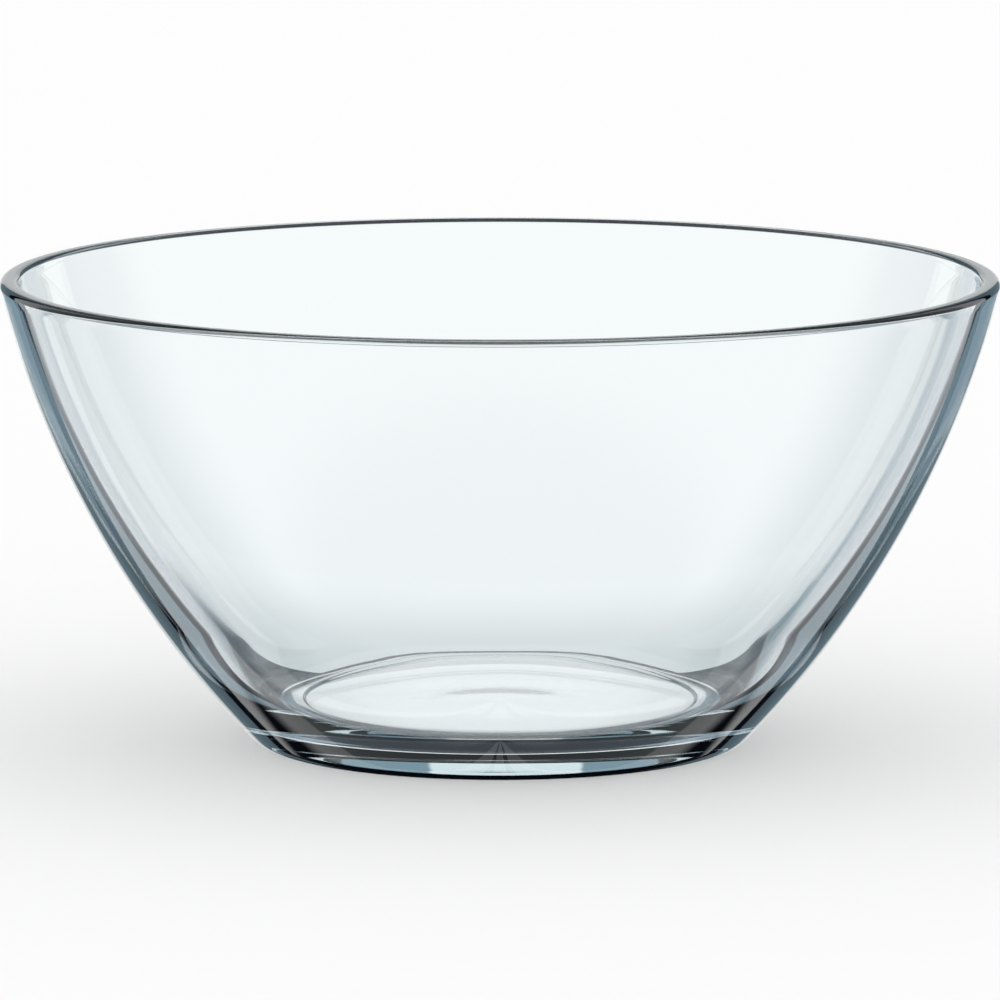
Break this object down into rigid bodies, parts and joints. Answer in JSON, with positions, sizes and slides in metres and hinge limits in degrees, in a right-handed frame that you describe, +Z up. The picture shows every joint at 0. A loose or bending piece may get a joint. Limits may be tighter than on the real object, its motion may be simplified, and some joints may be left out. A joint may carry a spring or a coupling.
{
  "type": "glass bowl",
  "caption": "Round clear glass bowl with a flared, gently curved wall, rounded rim and thick flat base, for mixing, holding or serving food.",
  "frame": {"origin": "centre of the foot, on the surface the bowl stands on", "axes": "+Z up along the bowl's axis, from the foot to the mouth; X and Y are level and equal, because the bowl is round"},
  "size_m": [0.17, 0.17, 0.08],
  "materials": {
    "clear_glass": "clear soda-lime glass, polished, faint blue-green at the edges"
  },
  "bodies": {
    "root": {"bowl": "clear_glass"}
  },
  "joints": []
}
